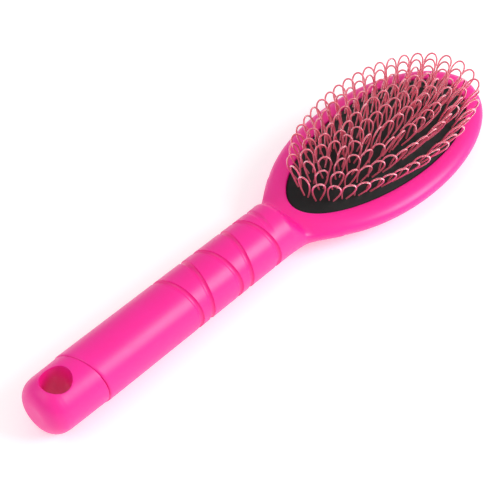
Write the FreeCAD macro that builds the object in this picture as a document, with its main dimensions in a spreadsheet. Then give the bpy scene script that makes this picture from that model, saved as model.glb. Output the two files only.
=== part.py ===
import FreeCAD, Part
import os
import math

# Hair brush with a cushioned pad of loop bristles.
# X runs along the handle towards the head, Z is up out of the bristle side.
# The origin is the middle of the base: half way along, on the ground plane.

V = FreeCAD.Vector
doc = FreeCAD.newDocument("LoopBrush")

# ------------------------------------------------------------------ sizes, mm
sheet = doc.addObject("Spreadsheet::Sheet", "Sizes")
sizes = [
    ("overall", 245.0), ("axis_height", 12.3),
    ("grip_rear_radius", 12.3), ("grip_front_radius", 11.9), ("grip_front_at", 124.0),
    ("cap_rear_radius", 11.75), ("cap_front_radius", 12.0), ("cap_length", 22.8),
    ("cap_round", 7.4), ("seam_angle", 14.85), ("hang_at", 11.3), ("hang_radius", 6.1),
    ("spigot_radius", 7.45), ("socket_radius", 7.5), ("spigot_end", 42.0),
    ("socket_end", 46.0),
    ("groove_first", 70.9), ("groove_pitch", 10.68), ("groove_tilt", 11.3),
    ("groove_tube", 1.47), ("groove_depth", 0.7),
    ("head_half_length", 57.5), ("head_half_width", 32.0), ("head_centre", 187.5),
    ("head_top", 3.7), ("head_bottom", -12.3), ("head_top_round", 6.6),
    ("head_widest", -0.6), ("last_groove", 118.3), ("last_tilt", 8.5),
    ("head_back_depth", 11.9),
    ("pad_half_length", 49.4), ("pad_half_width", 23.7), ("pad_centre", 186.8),
    ("pad_egg", 0.096), ("recess_floor", -3.4), ("tray_floor", 1.4), ("tray_wall", 1.4),
    ("tray_top", 1.5), ("skin", 1.3), ("dome_rise", 7.0), ("dome_edge", 3.1),
    ("loop_height", 12.7), ("loop_radius", 2.35), ("loop_foot", 0.5),
    ("loop_wire", 0.38), ("loop_root", 1.9),
    ("field_centre", 188.5), ("field_half_length", 44.4), ("field_half_width", 20.6),
    ("ring_gap_end", 5.5), ("ring_gap_side", 5.15), ("loop_gap", 5.35), ("fan_gain", 1.1),
    ("lean_mid", 14.0), ("lean_gain", 28.0), ("twist_bias", 0.55), ("twist_way", -46.0),
]
for i, (alias, value) in enumerate(sizes):
    cell = "B%d" % (i + 1)
    sheet.set("A%d" % (i + 1), alias)
    sheet.set(cell, repr(value))
    sheet.setAlias(cell, alias)
doc.recompute()


def val(alias):
    return float(getattr(sheet, alias))


def bind(obj, **links):
    for prop, text in links.items():
        obj.setExpression(prop.replace("__", "."), text)
    return obj


def add(kind, label, **links):
    obj = doc.addObject(kind, label)
    obj.Label = label
    return bind(obj, **links)


def shaped(label, shape):
    obj = doc.addObject("Part::Feature", label)
    obj.Label = label
    obj.Shape = shape
    return obj


half = val("overall") / 2.0
axis_z = val("axis_height")
ALONG_X = FreeCAD.Rotation(V(0, 1, 0), 90)


def at(x, y, z):
    """Point given from the butt end of the handle axis, in the part's frame."""
    return V(x - half, y, z + axis_z)


# ------------------------------------------------- grip and neck, one free form
def grip_radius(x):
    run = (x - val("cap_length")) / (val("grip_front_at") - val("cap_length"))
    return val("grip_rear_radius") + run * (val("grip_front_radius") - val("grip_rear_radius"))


FLARE_FROM, FLARE_TO, FLARE_GAIN = 121.0, 144.0, 8.4
DROP_FROM, DROP_TO = 124.5, 134.5


def ease(t):
    t = min(1.0, max(0.0, t))
    return t * t * (3.0 - 2.0 * t)


def neck_section(x):
    """Closed section of the grip and neck: round at the grip, wide and low at the head."""
    flare = max(0.0, (x - FLARE_FROM) / (FLARE_TO - FLARE_FROM))
    drop = ease((x - DROP_FROM) / (DROP_TO - DROP_FROM))
    low = ease((x - FLARE_FROM) / (FLARE_TO - FLARE_FROM))
    r = grip_radius(min(x, val("grip_front_at")))
    wide = r + FLARE_GAIN * flare ** 1.9
    top = r + drop * (val("head_top") - 0.15 - r)
    bottom = -r + low * (r - 8.0)
    middle = -0.8 * low
    power = 2.0 + 0.1 * low
    points = []
    for k in range(56):
        a = 2.0 * math.pi * k / 56
        c, s = math.cos(a), math.sin(a)
        y = wide * math.copysign(abs(c) ** (2.0 / power), c)
        reach = (top - middle) if s > 0 else (middle - bottom)
        z = middle + reach * math.copysign(abs(s) ** (2.0 / power), s)
        points.append(at(x, y, z))
    curve = Part.BSplineCurve()
    curve.interpolate(points, PeriodicFlag=True)
    return Part.Wire([curve.toShape()])


stations = [10.0 + 9.5 * k for k in range(11)] + [110.0, 114.0, 117.0, 120.0, 122.5, 124.5]
stations += [126.0, 127.5, 129.0, 130.5, 132.0, 133.5, 135.0, 137.0, 139.5, 142.0, 144.0]
grip = shaped("grip_blank", Part.makeLoft([neck_section(x) for x in stations], True, False))

# slanted joint plane between grip and end cap
seam = add("Part::Box", "seam_block", Length="60", Width="60", Height="60")
seam.Placement = FreeCAD.Placement(
    at(val("cap_length"), 0, 0),
    FreeCAD.Rotation(V(0, 0, 1), val("seam_angle"))) .multiply(
    FreeCAD.Placement(V(-60, -30, -30), FreeCAD.Rotation()))

grip_cut = add("Part::Cut", "grip_trimmed")
grip_cut.Base, grip_cut.Tool = grip, seam

# --------------------------------------------------------------- head and pad
def head_section(inset, scale, z):
    """Closed ellipse of the head at one height."""
    a = (val("head_half_length") - inset) * scale
    b = (val("head_half_width") - inset) * scale
    curve = Part.Ellipse(at(val("head_centre"), 0, z), a, b)
    return Part.Wire([curve.toShape()])


# lens-shaped back below the widest line, a short soft shoulder above it
back = val("head_back_depth")
rise = val("head_top") - val("head_widest")
foot = math.asin((val("head_widest") - val("head_bottom")) / back)
head_rows = []
for k in range(9):
    a = foot * (1.0 - k / 9.0)
    head_rows.append(head_section(0.0, math.cos(a), val("head_widest") - back * math.sin(a)))
for k in range(7):
    a = math.pi / 2 * k / 6
    inset = val("head_top_round") * (1.0 - math.cos(a))
    head_rows.append(head_section(inset, 1.0, val("head_widest") + rise * math.sin(a)))
head_round = shaped("head_rounded", Part.makeLoft(head_rows, True, False))

shell = add("Part::Fuse", "shell_blank")
shell.Base, shell.Tool = grip_cut, head_round


def egg(inset, z, scale=1.0):
    """Egg-shaped closed outline of the pad, wider towards the tip."""
    a = (val("pad_half_length") - inset) * scale
    b = (val("pad_half_width") - inset) * scale
    points = []
    for k in range(48):
        t = 2.0 * math.pi * k / 48
        y = b * math.sin(t) * (1.0 + val("pad_egg") * math.cos(t))
        points.append(at(val("pad_centre") + a * math.cos(t), y, z))
    curve = Part.BSplineCurve()
    curve.interpolate(points, PeriodicFlag=True)
    return Part.Wire([curve.toShape()])


def egg_block(label, inset, low, high):
    outline = shaped(label + "_outline", egg(inset, low))
    block = add("Part::Extrusion", label)
    block.Base = outline
    block.Dir = V(0, 0, 1)
    block.LengthFwd = high - low
    block.Solid = True
    return block


recess = egg_block("recess", 0.0, val("recess_floor"), val("head_top") + 6.0)
shell_open = add("Part::Cut", "shell_open")
shell_open.Base, shell_open.Tool = shell, recess

# socket for the cap's spigot
socket = add("Part::Cylinder", "socket", Radius="Sizes.socket_radius",
             Height="Sizes.socket_end - 5")
socket.Placement = FreeCAD.Placement(at(5, 0, 0), ALONG_X)
shell_bored = add("Part::Cut", "shell_bored")
shell_bored.Base, shell_bored.Tool = shell_open, socket

# five slanted finger grooves, each leaning the other way from the last
rings = []
for k in range(5):
    x = val("groove_first") + k * val("groove_pitch")
    lean = val("groove_tilt") * (1 if k % 2 == 0 else -1)
    ring = add("Part::Torus", "groove_ring_%d" % (k + 1), Radius2="Sizes.groove_tube")
    ring.Radius1 = grip_radius(x) + val("groove_tube") - val("groove_depth")
    ring.Placement = FreeCAD.Placement(
        at(x, 0, 0), FreeCAD.Rotation(V(0, 0, 1), lean).multiply(ALONG_X))
    rings.append(ring)
ring_set = add("Part::Compound", "groove_rings")
ring_set.Links = rings
grooved = add("Part::Cut", "shell_grooved")
grooved.Base, grooved.Tool = shell_bored, ring_set

# a sixth, fainter groove that dies away on one side
last = add("Part::Torus", "last_groove_ring", Radius2="Sizes.groove_tube")
last_lean = val("last_tilt")
last.Radius1 = (grip_radius(val("last_groove")) / math.cos(math.radians(last_lean))
                + val("groove_tube") - 0.35)
last.Placement = FreeCAD.Placement(
    at(val("last_groove"), -0.5, 0), FreeCAD.Rotation(V(0, 0, 1), -last_lean).multiply(ALONG_X))
handle = add("Part::Cut", "handle_body")
handle.Base, handle.Tool = grooved, last

# -------------------------------------------------------------------- end cap
cap_blank = add("Part::Cone", "cap_blank", Radius1="Sizes.cap_rear_radius",
                Radius2="Sizes.cap_front_radius", Height="32")
cap_blank.Placement = FreeCAD.Placement(at(0, 0, 0), ALONG_X)
doc.recompute()
cap_round = doc.addObject("Part::Fillet", "cap_rounded")
cap_round.Base = cap_blank
cap_round.Edges = [(n + 1, val("cap_round"), val("cap_round"))
                   for n, e in enumerate(cap_blank.Shape.Edges)
                   if e.BoundBox.XMax < -half + 0.5 and e.BoundBox.YLength > 5]
cap_trim = add("Part::Common", "cap_trimmed")
cap_trim.Base, cap_trim.Tool = cap_round, seam
spigot = add("Part::Cylinder", "cap_spigot", Radius="Sizes.spigot_radius",
             Height="Sizes.spigot_end - 18.5")
spigot.Placement = FreeCAD.Placement(at(18.5, 0, 0), ALONG_X)
cap_plug = add("Part::Fuse", "cap_with_spigot")
cap_plug.Base, cap_plug.Tool = cap_trim, spigot
hang = add("Part::Cylinder", "hang_drill", Radius="Sizes.hang_radius", Height="40")
hang.Placement = FreeCAD.Placement(at(val("hang_at"), 0, -20), FreeCAD.Rotation())
cap = add("Part::Cut", "end_cap")
cap.Base, cap.Tool = cap_plug, hang

# ------------------------------------------------ tray that carries the cushion
tray_low = val("recess_floor")
tray_block = egg_block("tray_blank", 0.15, tray_low, val("tray_top"))
tray_well = egg_block("tray_well", 0.15 + val("tray_wall"), tray_low + val("tray_floor"),
                      val("tray_top") + 3.0)
tray = add("Part::Cut", "pad_tray")
tray.Base, tray.Tool = tray_block, tray_well


# ----------------------------------------------------------- air cushion dome
def dome_rise(rho):
    return val("dome_rise") * (1.0 - rho * rho)


def dome_solid(inset, lower, base):
    levels = [1.0, 0.97, 0.92, 0.84, 0.74, 0.62, 0.48, 0.32, 0.14]
    wires = [egg(inset, base)]
    for rho in levels:
        wires.append(egg(inset, val("dome_edge") - lower + dome_rise(rho), rho))
    return Part.makeLoft(wires, True, True)


outer = shaped("dome_outer", dome_solid(0.15, 0.0, val("tray_top") + 0.02))
inner = shaped("dome_inner", dome_solid(0.15 + val("skin"), val("skin"), val("tray_top") - 1.0))
cushion = add("Part::Cut", "cushion")
cushion.Base, cushion.Tool = outer, inner


# ------------------------------------------------------------- loop bristles
def dome_point(x, y):
    """Top of the dome and its outward normal at a plan position."""
    def height(px, py):
        c = (px - val("pad_centre")) / (val("pad_half_length") - 0.15)
        s = py / ((val("pad_half_width") - 0.15) * (1.0 + val("pad_egg") * c))
        return val("dome_edge") + val("dome_rise") * (1.0 - c * c - s * s)
    d = 0.1
    nx = -(height(x + d, y) - height(x - d, y)) / (2 * d)
    ny = -(height(x, y + d) - height(x, y - d)) / (2 * d)
    return at(x, y, height(x, y)), V(nx, ny, 1.0).normalize()


def loop_shape():
    """One bristle: two legs rising from the foot and joined by a round top, in the YZ plane."""
    foot, r, top = val("loop_foot"), val("loop_radius"), val("loop_height")
    low = -val("loop_root")
    centre = top - r
    run = math.hypot(foot, centre - low)
    gap = math.sqrt(run * run - r * r)
    turn = math.atan2(centre - low, -foot) - math.atan2(r, gap)
    ty, tz = foot + gap * math.cos(turn), low + gap * math.sin(turn)
    leg_up = Part.LineSegment(V(0, foot, low), V(0, ty, tz)).toShape()
    bow = Part.Arc(V(0, ty, tz), V(0, 0, top), V(0, -ty, tz)).toShape()
    leg_down = Part.LineSegment(V(0, -ty, tz), V(0, -foot, low)).toShape()
    way = V(0, ty - foot, tz - low).normalize()
    ring = Part.Wire([Part.Circle(V(0, foot, low), way, val("loop_wire")).toShape()])
    return Part.Wire([leg_up, bow, leg_down]).makePipeShell([ring], True, False)


RINGS = 4
SECTORS = ("tip", "left", "neck", "right")


def ring_spots(ring):
    """Plan position, heading and angle round the pad of each bristle in one oval ring."""
    a = val("field_half_length") - ring * val("ring_gap_end")
    b = val("field_half_width") - ring * val("ring_gap_side")
    fine = 1440
    path = []
    for k in range(fine + 1):
        t = 2.0 * math.pi * k / fine
        path.append((val("field_centre") + a * math.cos(t),
                     b * math.sin(t) * (1.0 + val("pad_egg") * math.cos(t)), t))
    run = [0.0]
    for p, q in zip(path, path[1:]):
        run.append(run[-1] + math.hypot(q[0] - p[0], q[1] - p[1]))
    count = 2 * int(round(run[-1] / val("loop_gap") / 2.0))
    step = run[-1] / count
    spots, k = [], 0
    for n in range(count):
        want = step * (n + 0.5 * (ring % 2))
        while run[k + 1] < want:
            k += 1
        f = (want - run[k]) / (run[k + 1] - run[k])
        p, q = path[k], path[k + 1]
        x, y = p[0] + f * (q[0] - p[0]), p[1] + f * (q[1] - p[1])
        spots.append((x, y, math.atan2(q[1] - p[1], q[0] - p[0]), p[2]))
    return spots


def middle_spots():
    half_run = val("field_half_length") - RINGS * val("ring_gap_end") - 1.6
    count = int(round(2.0 * half_run / val("loop_gap"))) + 1
    return [(val("field_centre") + half_run * (2.0 * k / (count - 1) - 1.0), 0.0,
             math.pi / 2, 0.0) for k in range(count)]


def stand(x, y, heading, spread):
    """Placement of one bristle: its width follows the ring, it leans out from the dome."""
    foot_at, up = dome_point(x, y)
    side = 0.0 if abs(y) < 0.05 else math.copysign(1.0, y)
    seed = 0.731 * x + 1.93 * abs(y)
    tx, ty = math.cos(heading), math.sin(heading)
    bias = val("twist_bias")
    ax, ay = math.cos(math.radians(val("twist_way"))), math.sin(math.radians(val("twist_way")))
    keep = math.copysign(1.0 - bias, tx * ax + ty * ay)
    width_way = math.degrees(math.atan2(keep * ty + bias * ay, keep * tx + bias * ax))
    twist = width_way - 90.0 + spread * math.sin(5.17 * seed + 0.9 * side)
    lean = math.acos(up.z) * val("fan_gain") / max(1e-6, math.hypot(up.x, up.y))
    c = (x - val("pad_centre")) / val("pad_half_length")
    lx, ly = math.radians(val("lean_mid") + val("lean_gain") * c), up.y * lean
    amount = math.degrees(math.hypot(lx, ly))
    swing = FreeCAD.Rotation(V(-ly, lx, 0), amount) if amount > 0.05 else FreeCAD.Rotation()
    return FreeCAD.Placement(foot_at, swing.multiply(FreeCAD.Rotation(V(0, 0, 1), twist)))


def stood(spots, spread):
    pieces = []
    for x, y, heading, _ in spots:
        piece = loop.copy()
        piece.Placement = stand(x, y, heading, spread)
        pieces.append(piece)
    return Part.makeCompound(pieces)


loop = loop_shape()
rows = []
for ring in range(RINGS):
    spots = ring_spots(ring)
    for number, sector in enumerate(SECTORS):
        mine = [s for s in spots
                if int((s[3] + math.pi / 4 - 1e-6) % (2 * math.pi) / (math.pi / 2)) == number]
        rows.append(shaped("loops_r%d_%s" % (ring + 1, sector),
                           stood(mine, 18.0 + 5.0 * ring)))
rows.append(shaped("loops_mid", stood(middle_spots(), 25.0)))

# ---------------------------------------------------------------------- checks
doc.recompute()
for obj in doc.Objects:
    bad = [s for s in obj.State if s in ("Invalid", "Error")]
    if bad:
        raise RuntimeError("%s is %s" % (obj.Label, bad))
    if hasattr(obj, "Shape") and (obj.Shape.isNull() or not obj.Shape.isValid()):
        raise RuntimeError("%s has no valid shape" % obj.Label)

nodes = [handle, cap, tray, cushion] + rows
os.makedirs("parts", exist_ok=True)
for obj in nodes:
    if not obj.Shape.Solids:
        raise RuntimeError("%s has no solid" % obj.Label)
    print(obj.Label, "solids", len(obj.Shape.Solids), "volume %.1f" % obj.Shape.Volume,
          "box", [round(v, 2) for v in (obj.Shape.BoundBox.XMin, obj.Shape.BoundBox.XMax,
                                        obj.Shape.BoundBox.YMin, obj.Shape.BoundBox.YMax,
                                        obj.Shape.BoundBox.ZMin, obj.Shape.BoundBox.ZMax)])
    obj.Shape.exportStep("parts/%s.step" % obj.Label)
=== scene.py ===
import math

import bmesh
import bpy
import numpy as np
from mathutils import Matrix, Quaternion, Vector


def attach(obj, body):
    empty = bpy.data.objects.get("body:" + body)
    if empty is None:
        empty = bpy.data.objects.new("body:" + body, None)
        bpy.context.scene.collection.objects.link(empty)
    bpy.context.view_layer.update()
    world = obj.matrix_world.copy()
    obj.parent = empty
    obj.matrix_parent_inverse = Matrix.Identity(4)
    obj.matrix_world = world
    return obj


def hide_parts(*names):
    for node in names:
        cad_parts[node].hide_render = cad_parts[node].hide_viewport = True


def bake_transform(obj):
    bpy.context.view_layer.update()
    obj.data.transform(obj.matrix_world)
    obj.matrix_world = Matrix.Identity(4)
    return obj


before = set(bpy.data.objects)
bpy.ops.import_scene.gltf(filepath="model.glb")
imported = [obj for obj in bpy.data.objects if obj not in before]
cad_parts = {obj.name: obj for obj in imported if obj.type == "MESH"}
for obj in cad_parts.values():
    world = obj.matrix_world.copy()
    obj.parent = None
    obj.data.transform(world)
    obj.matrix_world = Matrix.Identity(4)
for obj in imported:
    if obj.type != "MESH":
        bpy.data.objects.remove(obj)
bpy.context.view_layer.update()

MM = 0.001
HALF = 122.5          # half of the overall length
AXIS_Z = 12.3         # height of the handle's axis


def to_frame(x, y, z):
    """Millimetres from the butt end on the handle's axis to metres in the frame."""
    x, y, z = np.asarray(x), np.asarray(y), np.asarray(z)
    return np.stack([(x - HALF) * MM, y * MM, (z + AXIS_Z) * MM], -1)


# ------------------------------------------------------------------ mesh helpers
def make_object(name, verts, faces):
    mesh = bpy.data.meshes.new(name)
    mesh.from_pydata([tuple(v) for v in verts], [], faces)
    mesh.validate()
    mesh.update()
    mesh.polygons.foreach_set("use_smooth", [True] * len(mesh.polygons))
    obj = bpy.data.objects.new(name, mesh)
    bpy.context.scene.collection.objects.link(obj)
    return obj


def grid_faces(rows, cols):
    faces = []
    for i in range(rows - 1):
        for j in range(cols):
            a, b = i * cols + j, i * cols + (j + 1) % cols
            faces.append((a, b, b + cols, a + cols))
    return faces


def rings_object(name, rings):
    """Closed solid from rings of equal count; a fan closes each end."""
    rows, cols = rings.shape[0], rings.shape[1]
    verts = list(rings.reshape(-1, 3))
    faces = grid_faces(rows, cols)
    for ring, turn in ((0, True), (rows - 1, False)):
        centre = len(verts)
        verts.append(rings[ring].mean(0))
        for j in range(cols):
            a, b = ring * cols + j, ring * cols + (j + 1) % cols
            faces.append((b, a, centre) if turn else (a, b, centre))
    obj = make_object(name, verts, faces)
    bm = bmesh.new()
    bm.from_mesh(obj.data)
    bmesh.ops.recalc_face_normals(bm, faces=bm.faces)
    bm.to_mesh(obj.data)
    bm.free()
    return obj


def carve(obj, cutter, soften=0.0, rounds=0, sharp=32):
    """Cut a solid away and ease the cut's edges over a given distance."""
    mod = obj.modifiers.new("cut", "BOOLEAN")
    mod.operation, mod.object, mod.solver = "DIFFERENCE", cutter, "EXACT"
    dg = bpy.context.evaluated_depsgraph_get()
    mesh = bpy.data.meshes.new_from_object(obj.evaluated_get(dg))
    obj.modifiers.clear()
    old, obj.data = obj.data, mesh
    bpy.data.meshes.remove(old)
    bpy.data.objects.remove(cutter)
    if rounds:
        bm = bmesh.new()
        bm.from_mesh(mesh)
        edge_verts = set()
        for e in bm.edges:
            if len(e.link_faces) == 2 and e.calc_face_angle(0) > math.radians(sharp):
                edge_verts.update(e.verts)
        near = set(edge_verts)
        for _ in range(2):
            near |= {e.other_vert(v) for v in near for e in v.link_edges
                     if e.calc_length() < soften * MM}
        for _ in range(rounds):
            bmesh.ops.smooth_vert(bm, verts=list(near), factor=0.5,
                                  use_axis_x=True, use_axis_y=True, use_axis_z=True)
        bm.to_mesh(mesh)
        bm.free()
    mesh.polygons.foreach_set("use_smooth", [True] * len(mesh.polygons))
    mesh.set_sharp_from_angle(angle=math.radians(38))
    return obj


# ------------------------------------------------------------------- the handle
SEAM_X, SEAM_SLOPE = 22.8, 0.265
REAR_R, FRONT_R, FRONT_AT = 12.3, 11.9, 124.0
GROOVES = [(70.9 + 10.68 * k, 0.2 * (1 if k % 2 == 0 else -1)) for k in range(5)]
LAST_GROOVE, LAST_LEAN, LAST_DEPTH = 118.3, 0.15, 0.55
GROOVE_HALF, GROOVE_DEPTH = 1.25, 0.95
HEAD_A, HEAD_B, HEAD_X = 57.5, 32.0, 187.5
TOP_Z, WIDEST_Z, LOW_Z, TOP_ROUND, BACK_DEPTH = 3.7, -0.6, -12.3, 6.6, 11.9
FLARE_FROM, FLARE_TO = 121.0, 146.0
FLARE_GAIN, FLARE_POWER = 5.0, 1.9
DROP_FROM, DROP_TO = 124.5, 134.5
NECK_TOP, NECK_BOTTOM, NECK_MIDDLE = 1.6, -8.2, -0.8     # heights at the head's end
FADE_FROM, FADE_RUN = 143.0, 9.0                         # where the neck ends in the head
UNION_SOFT = 4.0
PAD_X, PAD_A, PAD_B, PAD_EGG = 186.8, 49.4, 23.7, 0.096


def ease(t):
    t = np.clip(t, 0.0, 1.0)
    return t * t * (3.0 - 2.0 * t)


def grip_radius(x):
    return REAR_R + (np.minimum(x, FRONT_AT) - SEAM_X) / (FRONT_AT - SEAM_X) * (FRONT_R - REAR_R)


def neck_radius(x, phi):
    """Polar radius of the grip and neck section, about its own middle height."""
    flare = np.clip((x - FLARE_FROM) / (FLARE_TO - FLARE_FROM), 0, None)
    low = ease((x - FLARE_FROM) / (FLARE_TO - FLARE_FROM))
    drop = ease((x - DROP_FROM) / (DROP_TO - DROP_FROM))
    r = grip_radius(x)
    wide = r + FLARE_GAIN * flare ** FLARE_POWER
    top = r + drop * (NECK_TOP - r)
    bottom = -r + low * (r + NECK_BOTTOM)
    middle = NECK_MIDDLE * low
    power = 2.0 + 0.2 * low
    c, s = np.abs(np.cos(phi)), np.abs(np.sin(phi))
    reach = np.where(np.sin(phi) > 0, top - middle, middle - bottom)
    radius = ((c / wide) ** power + (s / reach) ** power) ** (-1.0 / power)
    fade = 1.0 - ease((x - FADE_FROM) / FADE_RUN)
    return radius * fade, middle


def head_radius(x, phi, middle):
    """Polar radius of the head's section, found by halving along each ray."""
    u = x - HEAD_X
    lo, hi = np.zeros_like(x * phi), np.full_like(x * phi, 45.0)
    for _ in range(34):
        r = 0.5 * (lo + hi)
        y, z = r * np.cos(phi), middle + r * np.sin(phi)
        f = np.sqrt((u / HEAD_A) ** 2 + (y / HEAD_B) ** 2) + 1e-9
        g = np.sqrt((u / HEAD_A ** 2) ** 2 + (y / HEAD_B ** 2) ** 2) / f + 1e-9
        d = (1.0 - f) / g
        rim = (TOP_ROUND - np.clip(d, 0, TOP_ROUND)) / TOP_ROUND
        top = WIDEST_Z + (TOP_Z - WIDEST_Z) * np.sqrt(1 - rim ** 2)
        low = WIDEST_Z - BACK_DEPTH * np.sqrt(np.clip(1 - f ** 2, 0, 1))
        low = np.maximum(low, LOW_Z)
        inside = (d > 0) & (z < top) & (z > low)
        lo, hi = np.where(inside, r, lo), np.where(inside, hi, r)
    return lo


def smooth_max(a, b, k):
    h = np.clip(k - np.abs(a - b), 0, None) / k
    return np.maximum(a, b) + h * h * k * 0.25


def slant(s):
    """How far each ring leans, following the seam and then each groove in turn."""
    keys, leans = [SEAM_X, SEAM_X + 4.0], [SEAM_SLOPE, SEAM_SLOPE]
    for x0, lean in GROOVES:
        keys += [x0 - 1.9, x0 + 1.9]
        leans += [lean, lean]
    keys += [124.0, 250.0]
    leans += [0.0, 0.0]
    return np.interp(s, keys, leans)


def stations():
    s = [SEAM_X, SEAM_X + 0.06, SEAM_X + 0.16, SEAM_X + 0.32, SEAM_X + 0.55]
    s += list(np.arange(SEAM_X + 1.2, 68.5, 1.1))
    local = [0.0, 0.25, 0.5, 0.75, 0.95, 1.1, 1.19, 1.25, 1.33, 1.48, 1.75]
    for x0, _ in GROOVES:
        s += [x0 - o for o in local] + [x0 + o for o in local]
        s += list(np.arange(x0 + 2.3, x0 + 8.6, 0.62))
    s += list(np.arange(115.5, 124.0, 0.24)) + list(np.arange(124.0, 150.0, 0.45))
    turn = np.linspace(math.acos((150.2 - HEAD_X) / HEAD_A), 0.0, 110)
    s += list(HEAD_X + HEAD_A * np.cos(turn[:-1]))
    return np.array(sorted(set(round(v, 4) for v in s)))


COLS = 240
phi = np.linspace(0, 2 * math.pi, COLS, endpoint=False)[None, :]
s = stations()[:, None]
lean = slant(s)
x = s - lean * grip_radius(s) * np.cos(phi)
neck, middle = neck_radius(x, phi)
off = np.clip(np.abs(x - LAST_GROOVE - LAST_LEAN * 12.0 * np.cos(phi)) / GROOVE_HALF, 0, 1)
fade = ease((np.cos(phi) + 0.75) / 0.9)
neck = neck - LAST_DEPTH * (1 - off ** 2.6) ** 0.9 * fade
for x0, _ in GROOVES:
    off = np.clip(np.abs(s - x0) / GROOVE_HALF, 0, 1)
    fade = np.clip(1.0 - (neck * np.abs(np.cos(phi)) - grip_radius(x)) / 0.9, 0, 1)
    neck = neck - GROOVE_DEPTH * (1 - off ** 2.6) ** 0.7 * fade
edge = np.clip(1 - (s - SEAM_X) / 0.55, 0, 1)
neck = neck - 0.28 * edge ** 2
head = head_radius(x, phi, middle)
head = np.where(x < HEAD_X - HEAD_A, 0, head)
radius = smooth_max(neck, head, UNION_SOFT * (1 + np.cos(phi) ** 2))
rings = to_frame(x, radius * np.cos(phi), middle + radius * np.sin(phi))
handle = rings_object("handle_shell", rings)


def egg(t, inset=0.0, scale=1.0):
    a, b = (PAD_A - inset) * scale, (PAD_B - inset) * scale
    return PAD_X + a * np.cos(t), b * np.sin(t) * (1 + PAD_EGG * np.cos(t))


def egg_stack(name, rows, count=320):
    t = np.linspace(0, 2 * math.pi, count, endpoint=False)
    rings = []
    for inset, z in rows:
        ex, ey = egg(t, inset)
        rings.append(to_frame(ex, ey, np.full_like(ex, z)))
    return rings_object(name, np.array(rings))


# inset and height of the opening's wall, flared at the lip
rim_cut = [(0.0, -3.4), (0.0, 3.0), (-0.06, 3.25), (-0.2, 3.48),
           (-0.42, 3.64), (-0.75, 3.72), (-0.9, 9.0)]
carve(handle, egg_stack("rim_cutter", rim_cut))

# ------------------------------------------------------------------ the end cap
CAP_REAR, CAP_FRONT, CAP_ROUND = 11.75, 12.0, 7.4
HOLE_X, HOLE_R = 11.3, 6.1


def cap_profile():
    out = []
    for a in np.linspace(0.02, math.pi / 2, 26):
        out.append((CAP_ROUND * (1 - math.cos(a)),
                    CAP_REAR - CAP_ROUND + CAP_ROUND * math.sin(a)))
    flat = [(0.0, r) for r in np.linspace(0.4, CAP_REAR - CAP_ROUND - 0.1, 8)]
    side = [(px, CAP_REAR + (CAP_FRONT - CAP_REAR) * px / SEAM_X)
            for px in np.linspace(8.0, SEAM_X - 0.55, 34)]
    lip = [(SEAM_X - o, CAP_FRONT - d)
           for o, d in ((0.35, 0.02), (0.18, 0.08), (0.07, 0.18), (0.02, 0.3))]
    return np.array(flat + out + side + lip)


prof = cap_profile()
px, pr = prof[:, :1], prof[:, 1:]
lean_in = np.clip((px - 6.0) / (SEAM_X - 6.0), 0, 1) ** 2
cx = px - SEAM_SLOPE * lean_in * pr * np.cos(phi)
cap = rings_object("end_cap_shell", to_frame(cx, pr * np.cos(phi), pr * np.sin(phi)))
t = np.linspace(0, 2 * math.pi, 128, endpoint=False)
drill = []
for z in np.linspace(-15, 15, 61):
    drill.append(to_frame(HOLE_X + HOLE_R * np.cos(t), HOLE_R * np.sin(t), np.full_like(t, z)))
carve(cap, rings_object("hole_cutter", np.array(drill)), soften=0.9, rounds=5)

# ------------------------------------------------------------ the rubber cushion
DOME_EDGE, DOME_RISE = 3.1, 7.0
FIELD_X, FIELD_A, FIELD_B = 188.5, 44.4, 20.6
GAP_END, GAP_SIDE, LOOP_GAP, MIDDLE_TRIM = 5.5, 5.15, 5.35, 1.6
RINGS, SECTORS = 4, ("tip", "left", "neck", "right")
FAN, LEAN_MID, LEAN_GAIN = 1.1, 14.0, 28.0
TWIST_BIAS, WAY = 0.55, math.radians(-46)
WAY_X, WAY_Y = math.cos(WAY), math.sin(WAY)


def dome_height(x, y):
    c = (x - PAD_X) / 49.25
    s = y / (23.55 * (1 + PAD_EGG * c))
    return DOME_EDGE + DOME_RISE * (1 - c * c - s * s)


def dome_normal(x, y):
    d = 0.1
    n = Vector((-(dome_height(x + d, y) - dome_height(x - d, y)) / (2 * d),
                -(dome_height(x, y + d) - dome_height(x, y - d)) / (2 * d), 1.0))
    return n.normalized()


def ring_spots(ring):
    """Plan position, heading and angle of each bristle in one oval ring, as in the CAD."""
    a, b = FIELD_A - ring * GAP_END, FIELD_B - ring * GAP_SIDE
    t = np.linspace(0, 2 * math.pi, 1441)
    px, py = FIELD_X + a * np.cos(t), b * np.sin(t) * (1 + PAD_EGG * np.cos(t))
    run = np.concatenate([[0], np.cumsum(np.hypot(np.diff(px), np.diff(py)))])
    count = 2 * int(round(run[-1] / LOOP_GAP / 2))
    spots = []
    for n in range(count):
        want = run[-1] / count * (n + 0.5 * (ring % 2))
        k = max(0, int(np.searchsorted(run, want)) - 1)
        f = (want - run[k]) / (run[k + 1] - run[k])
        dx, dy = px[k + 1] - px[k], py[k + 1] - py[k]
        spots.append((px[k] + f * dx, py[k] + f * dy, math.atan2(dy, dx), t[k]))
    return spots


def middle_spots():
    half_run = FIELD_A - RINGS * GAP_END - MIDDLE_TRIM
    count = int(round(2 * half_run / LOOP_GAP)) + 1
    return [(FIELD_X + half_run * (2 * k / (count - 1) - 1), 0.0, math.pi / 2, 0.0)
            for k in range(count)]


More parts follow.
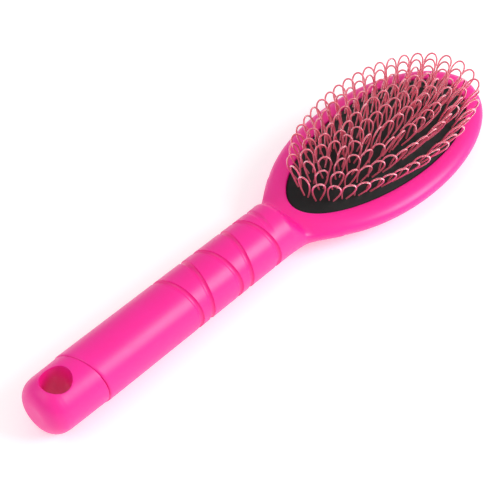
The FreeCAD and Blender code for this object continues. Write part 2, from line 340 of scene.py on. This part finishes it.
groups = []
for ring in range(RINGS):
    spots = ring_spots(ring)
    for number, sector in enumerate(SECTORS):
        mine = [p for p in spots
                if int((p[3] + math.pi / 4 - 1e-6) % (2 * math.pi) / (math.pi / 2)) == number]
        groups.append(("r%d_%s" % (ring + 1, sector), mine, 18.0 + 5.0 * ring))
groups.append(("mid", middle_spots(), 25.0))
feet = np.array([(p[0], p[1]) for g in groups for p in g[1]])

levels = np.concatenate([[1.0, 0.998, 0.992, 0.984], np.linspace(0.975, 0.02, 96)])
t = np.linspace(0, 2 * math.pi, 300, endpoint=False)
skin = []
for z, inset in ((1.52, 0.15), (2.2, 0.15), (2.75, 0.15)):
    ex, ey = egg(t, inset)
    skin.append(to_frame(ex, ey, np.full_like(t, z)))
for rho in levels:
    ex, ey = egg(t, 0.15, rho)
    z = DOME_EDGE + DOME_RISE * (1 - rho * rho)
    z = z - 0.35 * max(0.0, (rho - 0.965) / 0.035) ** 2
    gap = np.hypot(ex[:, None] - feet[None, :, 0], ey[:, None] - feet[None, :, 1]).min(1)
    boss = 0.32 * np.exp(-(np.clip(gap - 0.7, 0, None) / 0.75) ** 2)
    skin.append(to_frame(ex, ey, z + boss))
cushion = rings_object("cushion_skin", np.array(skin))

# ------------------------------------------------------------------ the bristles
LOOP_H, LOOP_W, LOOP_FOOT, LOOP_WIRE, LOOP_ROOT = 12.7, 2.55, 0.45, 0.38, 1.9
WAIST = 8.6           # height of the widest place


def loop_path():
    """Teardrop centre line in the YZ plane: two legs that open out under a rounded top."""
    pts = []
    for f in np.linspace(0, 1, 22):
        z = -LOOP_ROOT + (WAIST + LOOP_ROOT) * f
        pts.append((LOOP_FOOT + (LOOP_W - LOOP_FOOT) * math.sin(0.5 * math.pi * f) ** 1.35, z))
    for a in np.linspace(0, 0.5 * math.pi, 12)[1:]:
        pts.append((LOOP_W * math.cos(a) ** 0.92 if a < 1.57 else 0.0,
                    WAIST + (LOOP_H - WAIST) * math.sin(a)))
    return np.array(pts + [(-p[0], p[1]) for p in pts[-2::-1]])


def loop_mesh(sides=10):
    path = loop_path()
    ahead = np.gradient(path, axis=0)
    ahead /= np.linalg.norm(ahead, axis=1)[:, None]
    ang = np.linspace(0, 2 * math.pi, sides, endpoint=False)
    verts = []
    for (y, z), (ty, tz) in zip(path, ahead):
        for a in ang:
            out = LOOP_WIRE * math.cos(a)
            verts.append((LOOP_WIRE * math.sin(a), y + out * tz, z - out * ty))
    return np.array(verts), len(path), sides


loop_verts, loop_rows, loop_sides = loop_mesh()
loop_faces = grid_faces(loop_rows, loop_sides)
loop_faces.append(tuple(range(loop_sides))[::-1])
loop_faces.append(tuple(range((loop_rows - 1) * loop_sides, loop_rows * loop_sides)))


def bristle_group(label, spots, spread):
    verts, faces = [], []
    for x, y, heading, _ in spots:
        up = dome_normal(x, y)
        side = 0.0 if abs(y) < 0.05 else math.copysign(1.0, y)
        seed = 0.731 * x + 1.93 * abs(y)
        tx, ty = math.cos(heading), math.sin(heading)
        keep = math.copysign(1 - TWIST_BIAS, tx * WAY_X + ty * WAY_Y)
        width_way = math.atan2(keep * ty + TWIST_BIAS * WAY_Y, keep * tx + TWIST_BIAS * WAY_X)
        jitter = math.radians(spread * math.sin(5.17 * seed + 0.9 * side))
        twist = width_way - 0.5 * math.pi + jitter
        lean = math.acos(up.z) * FAN / max(1e-6, math.hypot(up.x, up.y))
        c = (x - PAD_X) / PAD_A
        lx, ly = math.radians(LEAN_MID + LEAN_GAIN * c), up.y * lean
        amount = math.hypot(lx, ly)
        swing = Quaternion()
        if amount > 1e-3:
            swing = Quaternion(Vector((-ly, lx, 0)).normalized(), amount)
        m = np.array((swing @ Quaternion((0, 0, 1), twist)).to_matrix())
        foot = to_frame(x, y, dome_height(x, y))
        start = len(verts)
        verts += list(loop_verts @ m.T * MM + foot)
        faces += [tuple(start + i for i in f) for f in loop_faces]
    return make_object("bristles_" + label, verts, faces)


bristles = [bristle_group(*g) for g in groups]


# --------------------------------------------------------------------- materials
def nodes_of(name):
    mat = bpy.data.materials.new(name)
    mat.use_nodes = True
    tree = mat.node_tree
    return mat, tree, tree.nodes["Principled BSDF"]


def object_coords(tree):
    return tree.nodes.new("ShaderNodeTexCoord").outputs["Object"]


def noise(tree, coords, scale, detail=3.0, rough=0.5):
    n = tree.nodes.new("ShaderNodeTexNoise")
    n.inputs["Scale"].default_value = scale
    n.inputs["Detail"].default_value = detail
    n.inputs["Roughness"].default_value = rough
    tree.links.new(coords, n.inputs["Vector"])
    return n.outputs["Fac"]


def ramp(tree, fac, low, high, stops=(0.3, 0.7)):
    r = tree.nodes.new("ShaderNodeValToRGB")
    r.color_ramp.elements[0].position, r.color_ramp.elements[1].position = stops
    r.color_ramp.elements[0].color = low
    r.color_ramp.elements[1].color = high
    tree.links.new(fac, r.inputs["Fac"])
    return r.outputs["Color"]


def spread(tree, fac, low, high):
    m = tree.nodes.new("ShaderNodeMapRange")
    m.inputs["To Min"].default_value, m.inputs["To Max"].default_value = low, high
    tree.links.new(fac, m.inputs["Value"])
    return m.outputs["Result"]


def bump(tree, height, distance, strength=1.0, before=None):
    b = tree.nodes.new("ShaderNodeBump")
    b.inputs["Strength"].default_value = strength
    b.inputs["Distance"].default_value = distance
    tree.links.new(height, b.inputs["Height"])
    if before is not None:
        tree.links.new(before, b.inputs["Normal"])
    return b.outputs["Normal"]


def pink_plastic(name):
    mat, tree, bsdf = nodes_of(name)
    co = object_coords(tree)
    shade = ramp(tree, noise(tree, co, 26, 2), (0.90, 0.008, 0.285, 1), (0.95, 0.012, 0.32, 1))
    tree.links.new(shade, bsdf.inputs["Base Color"])
    tree.links.new(spread(tree, noise(tree, co, 160, 4, 0.6), 0.33, 0.45), bsdf.inputs["Roughness"])
    first = bump(tree, noise(tree, co, 900, 3), 0.00006, 0.35)
    tree.links.new(bump(tree, noise(tree, co, 90, 2), 0.0003, 0.12, first), bsdf.inputs["Normal"])
    bsdf.inputs["IOR"].default_value = 1.49
    bsdf.inputs["Subsurface Weight"].default_value = 0.12
    bsdf.inputs["Subsurface Radius"].default_value = (1.0, 0.25, 0.5)
    bsdf.inputs["Subsurface Scale"].default_value = 0.002
    bsdf.inputs["Coat Weight"].default_value = 0.08
    bsdf.inputs["Coat Roughness"].default_value = 0.25
    return mat


def black_rubber(name):
    mat, tree, bsdf = nodes_of(name)
    co = object_coords(tree)
    shade = ramp(tree, noise(tree, co, 60, 3), (0.0045, 0.005, 0.005, 1), (0.010, 0.011, 0.0105, 1))
    tree.links.new(shade, bsdf.inputs["Base Color"])
    tree.links.new(spread(tree, noise(tree, co, 300, 4), 0.6, 0.78), bsdf.inputs["Roughness"])
    tree.links.new(bump(tree, noise(tree, co, 1600, 4), 0.0001, 0.6), bsdf.inputs["Normal"])
    bsdf.inputs["Specular IOR Level"].default_value = 0.3
    return mat


def tray_plastic(name):
    mat, tree, bsdf = nodes_of(name)
    co = object_coords(tree)
    shade = ramp(tree, noise(tree, co, 80, 3), (0.02, 0.02, 0.022, 1), (0.035, 0.035, 0.037, 1))
    tree.links.new(shade, bsdf.inputs["Base Color"])
    tree.links.new(spread(tree, noise(tree, co, 500, 3), 0.42, 0.6), bsdf.inputs["Roughness"])
    return mat


def nylon(name):
    mat, tree, bsdf = nodes_of(name)
    co = object_coords(tree)
    shade = ramp(tree, noise(tree, co, 120, 2), (0.92, 0.13, 0.22, 1), (0.96, 0.21, 0.31, 1))
    tree.links.new(shade, bsdf.inputs["Base Color"])
    tree.links.new(spread(tree, noise(tree, co, 900, 3), 0.16, 0.3), bsdf.inputs["Roughness"])
    tree.links.new(bump(tree, noise(tree, co, 2500, 2), 0.00004, 0.3), bsdf.inputs["Normal"])
    bsdf.inputs["Transmission Weight"].default_value = 0.45
    bsdf.inputs["IOR"].default_value = 1.53
    return mat


def give(obj, mat):
    obj.data.materials.clear()
    obj.data.materials.append(mat)


pink, cap_pink = pink_plastic("handle_pink"), pink_plastic("cap_pink")
rubber, filament = black_rubber("cushion_rubber"), nylon("bristle_nylon")
tray_black = tray_plastic("tray_black")
give(handle, pink)
give(cap, cap_pink)
give(cushion, rubber)
for row in bristles:
    give(row, filament)
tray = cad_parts["pad_tray"]
for slot in tray.material_slots:
    slot.material = tray_black

# ------------------------------------------------------- bodies and replaced nodes
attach(handle, "handle")
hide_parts("handle_body")
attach(cap, "handle")
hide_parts("end_cap")
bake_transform(cushion)
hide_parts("cushion")
for group, row in zip(groups, bristles):
    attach(row, "pad")
    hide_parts("loops_" + group[0])

# ------------------------------------------------------------ floor, light, camera
floor = make_object("floor", [(-3, -3, 0), (3, -3, 0), (3, 3, 0), (-3, 3, 0)], [(0, 1, 2, 3)])
floor_mat, tree, bsdf = nodes_of("floor_pale")
co = object_coords(tree)
tree.links.new(ramp(tree, noise(tree, co, 3, 2), (0.93, 0.93, 0.93, 1), (0.95, 0.95, 0.95, 1)),
               bsdf.inputs["Base Color"])
bsdf.inputs["Roughness"].default_value = 0.9
bsdf.inputs["Specular IOR Level"].default_value = 0.1
bsdf.inputs["Emission Color"].default_value = (1, 1, 1, 1)
bsdf.inputs["Emission Strength"].default_value = 0.28
give(floor, floor_mat)

world = bpy.data.worlds.new("studio")
bpy.context.scene.world = world
world.use_nodes = True
world.node_tree.nodes["Background"].inputs["Color"].default_value = (1, 1, 1, 1)
world.node_tree.nodes["Background"].inputs["Strength"].default_value = 0.60


def softbox(name, place, size, power):
    light = bpy.data.lights.new(name, "AREA")
    light.shape, light.size = "SQUARE", size
    light.energy = power
    obj = bpy.data.objects.new(name, light)
    obj.location = place
    obj.rotation_euler = (Vector((0, 0, 0.01)) - Vector(place)).to_track_quat("-Z", "Y").to_euler()
    bpy.context.scene.collection.objects.link(obj)


softbox("key", (0.52, -0.74, 0.63), 0.55, 7.5)
softbox("fill", (-0.7, 0.3, 0.9), 0.9, 2.5)

cam = bpy.data.cameras.new("camera")
cam.lens, cam.sensor_width = 117.5, 36
cam_obj = bpy.data.objects.new("camera", cam)
cam_obj.location = (-0.31407, -0.29273, 0.49531)
aim = Vector((-0.01143, -0.00062, 0.0123))
cam_obj.rotation_euler = (aim - cam_obj.location).to_track_quat("-Z", "Y").to_euler()
bpy.context.scene.collection.objects.link(cam_obj)
bpy.context.scene.camera = cam_obj
bpy.context.scene.view_settings.view_transform = "Standard"
